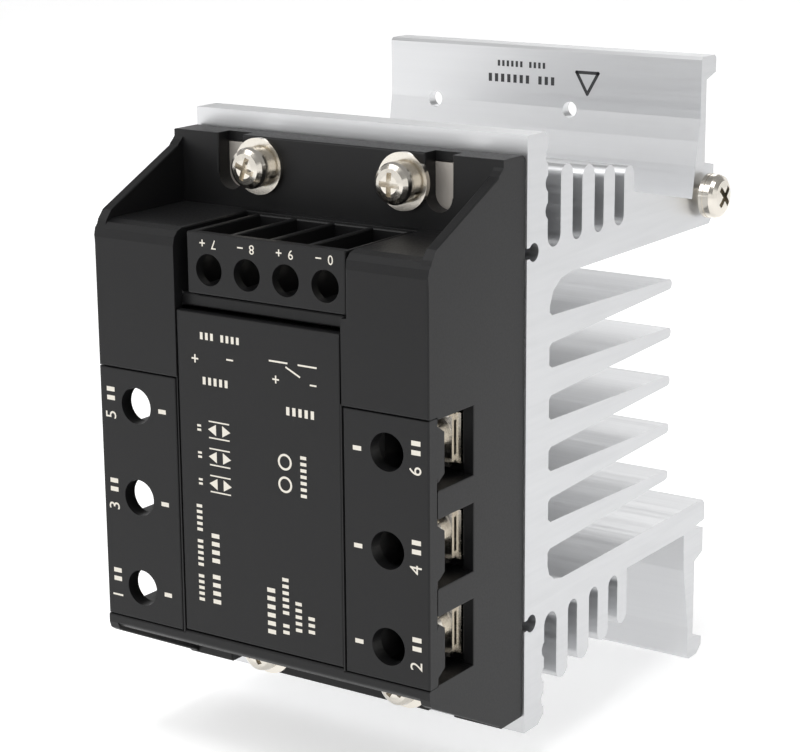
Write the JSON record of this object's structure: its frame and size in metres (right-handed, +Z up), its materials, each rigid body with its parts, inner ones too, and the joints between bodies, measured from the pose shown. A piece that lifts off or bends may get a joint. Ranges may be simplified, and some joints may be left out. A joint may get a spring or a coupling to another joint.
{
  "type": "solid state relay",
  "caption": "Panel-mounted solid state relay in a black moulded case with recessed screw terminals, fixed to a finned, extruded aluminium heatsink.",
  "frame": {"origin": "middle of the heatsink's rear mounting plane: mid-width, mid-height, on the plane of the rear lips", "axes": "+Z up as mounted, +X across the width towards the load terminals, -Y out of the panel towards the user"},
  "size_m": [0.0775, 0.1019, 0.124],
  "materials": {
    "extruded_aluminium": "satin, bright extruded",
    "thermal_sheet": "matt silicone sheet",
    "base_metal": "dull plated",
    "black_moulding": "satin moulded",
    "clear_gel": "soft gel",
    "ceramic_plate": "matt",
    "silicon_die": "polished",
    "tinned_copper": "bright tin on copper",
    "circuit_board": "solder resist",
    "white_package": "matt",
    "blue_film": "gloss",
    "brown_resin": "matt",
    "nickel_plate": "nickel plated",
    "white_print": "pad printed",
    "dark_print": "pad printed"
  },
  "bodies": {
    "relay": {"heatsink": "extruded_aluminium", "thermal_pad": "thermal_sheet", "base_plate": "base_metal", "housing": "black_moulding", "front_cover": "black_moulding", "line_cover": "black_moulding", "load_cover": "black_moulding", "control_block": "black_moulding", "potting": "clear_gel", "substrate": "ceramic_plate", "thyristor_1": "silicon_die", "thyristor_2": "silicon_die", "thyristor_3": "silicon_die", "thyristor_4": "silicon_die", "thyristor_5": "silicon_die", "thyristor_6": "silicon_die", "busbar_l1": "tinned_copper", "busbar_l2": "tinned_copper", "busbar_l3": "tinned_copper", "busbar_t1": "tinned_copper", "busbar_t2": "tinned_copper", "busbar_t3": "tinned_copper", "driver_board": "circuit_board", "opto_1": "white_package", "opto_2": "white_package", "opto_3": "white_package", "capacitor_1": "blue_film", "capacitor_2": "blue_film", "capacitor_3": "blue_film", "gate_pins": "tinned_copper", "thermal_switch": "brown_resin", "control_contact_1": "tinned_copper", "control_contact_2": "tinned_copper", "control_contact_3": "tinned_copper", "control_contact_4": "tinned_copper", "fixing_screws": "nickel_plate", "lock_washers": "nickel_plate", "flat_washers": "nickel_plate"},
    "clamp_l1": {"clamp_l1": "nickel_plate"},
    "screw_l1": {"screw_l1": "nickel_plate"},
    "clamp_l2": {"clamp_l2": "nickel_plate"},
    "screw_l2": {"screw_l2": "nickel_plate"},
    "clamp_l3": {"clamp_l3": "nickel_plate"},
    "screw_l3": {"screw_l3": "nickel_plate"},
    "clamp_t1": {"clamp_t1": "nickel_plate"},
    "screw_t1": {"screw_t1": "nickel_plate"},
    "clamp_t2": {"clamp_t2": "nickel_plate"},
    "screw_t2": {"screw_t2": "nickel_plate"},
    "clamp_t3": {"clamp_t3": "nickel_plate"},
    "screw_t3": {"screw_t3": "nickel_plate"},
    "control_clamp_1": {"control_clamp_1": "nickel_plate"},
    "control_screw_1": {"control_screw_1": "nickel_plate"},
    "control_clamp_2": {"control_clamp_2": "nickel_plate"},
    "control_screw_2": {"control_screw_2": "nickel_plate"},
    "control_clamp_3": {"control_clamp_3": "nickel_plate"},
    "control_screw_3": {"control_screw_3": "nickel_plate"},
    "control_clamp_4": {"control_clamp_4": "nickel_plate"},
    "control_screw_4": {"control_screw_4": "nickel_plate"},
    "earth_washer": {"earth_washer": "nickel_plate"},
    "earth_screw": {"earth_screw": "nickel_plate"}
  },
  "joints": [
    {"name": "line_terminal_1_slide", "type": "slide", "parent": "relay", "child": "clamp_l1", "axis": [0, -1, 0], "range_m": [0, 0.0042]},
    {"name": "line_terminal_1_turn", "type": "hinge", "parent": "clamp_l1", "child": "screw_l1", "pos_m": [-0.0275, -0.0913, -0.03], "axis": [0, -1, 0], "range_deg": [0, 2161]},
    {"name": "line_terminal_2_slide", "type": "slide", "parent": "relay", "child": "clamp_l2", "axis": [0, -1, 0], "range_m": [0, 0.0042]},
    {"name": "line_terminal_2_turn", "type": "hinge", "parent": "clamp_l2", "child": "screw_l2", "pos_m": [-0.0275, -0.0913, -0.0126], "axis": [0, -1, 0], "range_deg": [0, 2161]},
    {"name": "line_terminal_3_slide", "type": "slide", "parent": "relay", "child": "clamp_l3", "axis": [0, -1, 0], "range_m": [0, 0.0042]},
    {"name": "line_terminal_3_turn", "type": "hinge", "parent": "clamp_l3", "child": "screw_l3", "pos_m": [-0.0275, -0.0913, 0.0048], "axis": [0, -1, 0], "range_deg": [0, 2161]},
    {"name": "load_terminal_1_slide", "type": "slide", "parent": "relay", "child": "clamp_t1", "axis": [0, -1, 0], "range_m": [0, 0.0042]},
    {"name": "load_terminal_1_turn", "type": "hinge", "parent": "clamp_t1", "child": "screw_t1", "pos_m": [0.0275, -0.0913, -0.03], "axis": [0, -1, 0], "range_deg": [0, 2161]},
    {"name": "load_terminal_2_slide", "type": "slide", "parent": "relay", "child": "clamp_t2", "axis": [0, -1, 0], "range_m": [0, 0.0042]},
    {"name": "load_terminal_2_turn", "type": "hinge", "parent": "clamp_t2", "child": "screw_t2", "pos_m": [0.0275, -0.0913, -0.0126], "axis": [0, -1, 0], "range_deg": [0, 2161]},
    {"name": "load_terminal_3_slide", "type": "slide", "parent": "relay", "child": "clamp_t3", "axis": [0, -1, 0], "range_m": [0, 0.0042]},
    {"name": "load_terminal_3_turn", "type": "hinge", "parent": "clamp_t3", "child": "screw_t3", "pos_m": [0.0275, -0.0913, 0.0048], "axis": [0, -1, 0], "range_deg": [0, 2161]},
    {"name": "control_terminal_1_slide", "type": "slide", "parent": "relay", "child": "control_clamp_1", "axis": [0, -1, 0], "range_m": [-0.00115, 0.0013]},
    {"name": "control_terminal_1_turn", "type": "hinge", "parent": "control_clamp_1", "child": "control_screw_1", "pos_m": [-0.0102, -0.0913, 0.0317], "axis": [0, -1, 0], "range_deg": [-829, 937]},
    {"name": "control_terminal_2_slide", "type": "slide", "parent": "relay", "child": "control_clamp_2", "axis": [0, -1, 0], "range_m": [-0.00115, 0.0013]},
    {"name": "control_terminal_2_turn", "type": "hinge", "parent": "control_clamp_2", "child": "control_screw_2", "pos_m": [-0.00187, -0.0913, 0.0317], "axis": [0, -1, 0], "range_deg": [-829, 937]},
    {"name": "control_terminal_3_slide", "type": "slide", "parent": "relay", "child": "control_clamp_3", "axis": [0, -1, 0], "range_m": [-0.00115, 0.0013]},
    {"name": "control_terminal_3_turn", "type": "hinge", "parent": "control_clamp_3", "child": "control_screw_3", "pos_m": [0.00646, -0.0913, 0.0317], "axis": [0, -1, 0], "range_deg": [-829, 937]},
    {"name": "control_terminal_4_slide", "type": "slide", "parent": "relay", "child": "control_clamp_4", "axis": [0, -1, 0], "range_m": [-0.00115, 0.0013]},
    {"name": "control_terminal_4_turn", "type": "hinge", "parent": "control_clamp_4", "child": "control_screw_4", "pos_m": [0.01479, -0.0913, 0.0317], "axis": [0, -1, 0], "range_deg": [-829, 937]},
    {"name": "earth_slide", "type": "slide", "parent": "relay", "child": "earth_washer", "axis": [1, 0, 0], "range_m": [-0.0012, 0.003]},
    {"name": "earth_turn", "type": "hinge", "parent": "earth_washer", "child": "earth_screw", "pos_m": [0.0363, -0.0045, 0.0349], "axis": [1, 0, 0], "range_deg": [-618, 1544]}
  ],
  "couplings": [
    {"joint": "line_terminal_1_turn", "follows": "line_terminal_1_slide", "rad_per_m": 8976},
    {"joint": "line_terminal_2_turn", "follows": "line_terminal_2_slide", "rad_per_m": 8976},
    {"joint": "line_terminal_3_turn", "follows": "line_terminal_3_slide", "rad_per_m": 8976},
    {"joint": "load_terminal_1_turn", "follows": "load_terminal_1_slide", "rad_per_m": 8976},
    {"joint": "load_terminal_2_turn", "follows": "load_terminal_2_slide", "rad_per_m": 8976},
    {"joint": "load_terminal_3_turn", "follows": "load_terminal_3_slide", "rad_per_m": 8976},
    {"joint": "control_terminal_1_turn", "follows": "control_terminal_1_slide", "rad_per_m": 12566},
    {"joint": "control_terminal_2_turn", "follows": "control_terminal_2_slide", "rad_per_m": 12566},
    {"joint": "control_terminal_3_turn", "follows": "control_terminal_3_slide", "rad_per_m": 12566},
    {"joint": "control_terminal_4_turn", "follows": "control_terminal_4_slide", "rad_per_m": 12566},
    {"joint": "earth_turn", "follows": "earth_slide", "rad_per_m": 8976}
  ]
}
